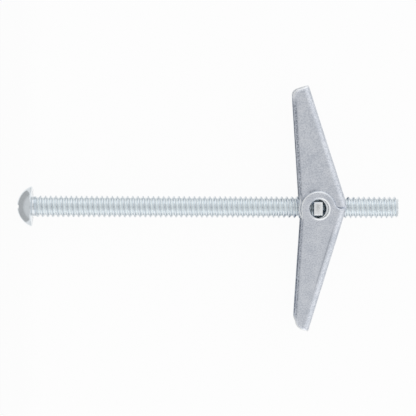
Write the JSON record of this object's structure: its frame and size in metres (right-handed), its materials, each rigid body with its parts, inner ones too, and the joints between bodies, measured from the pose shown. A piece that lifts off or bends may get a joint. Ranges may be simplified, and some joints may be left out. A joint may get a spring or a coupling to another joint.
{
  "type": "spring toggle bolt",
  "caption": "Zinc-plated steel toggle bolt: a round-head machine screw whose trunnion nut carries nested folding wings, sprung open to bear on the back of a hollow wall.",
  "frame": {"origin": "on the screw's axis, in the plane of the head's underside", "axes": "+X along the screw from the head to its tip, +Y across the open wings to the inner one's tip, +Z along the pivot, up from the surface that the bolt lies on"},
  "size_m": [0.0785, 0.0502, 0.0098],
  "materials": {
    "plated_screw": "bright zinc plate on a rolled thread",
    "plated_sheet": "mottled bright zinc plate on folded sheet steel",
    "plated_nut": "bright zinc plate on stamped steel",
    "spring_wire": "plain hard-drawn steel wire"
  },
  "bodies": {
    "screw": {"screw": "plated_screw"},
    "nut": {"trunnion_nut": "plated_nut", "torsion_spring": "spring_wire"},
    "inner_wing": {"inner_wing": "plated_sheet"},
    "outer_wing": {"outer_wing": "plated_sheet"}
  },
  "joints": [
    {"name": "nut_travel", "type": "slide", "parent": "screw", "child": "nut", "axis": [1, 0, 0], "range_m": [-0.032, 0.014]},
    {"name": "inner_wing_fold", "type": "hinge", "parent": "nut", "child": "inner_wing", "pos_m": [0.05857, 0, 0], "axis": [0, 0, 1], "range_deg": [0, 79], "stiffness_Nm_per_rad": 0.015, "springref_deg": -20.05, "deforming": ["torsion_spring"]},
    {"name": "outer_wing_fold", "type": "hinge", "parent": "nut", "child": "outer_wing", "pos_m": [0.059, 0, 0], "axis": [0, 0, -1], "range_deg": [0, 77], "stiffness_Nm_per_rad": 0.015, "springref_deg": -20.05, "deforming": ["torsion_spring"]}
  ]
}
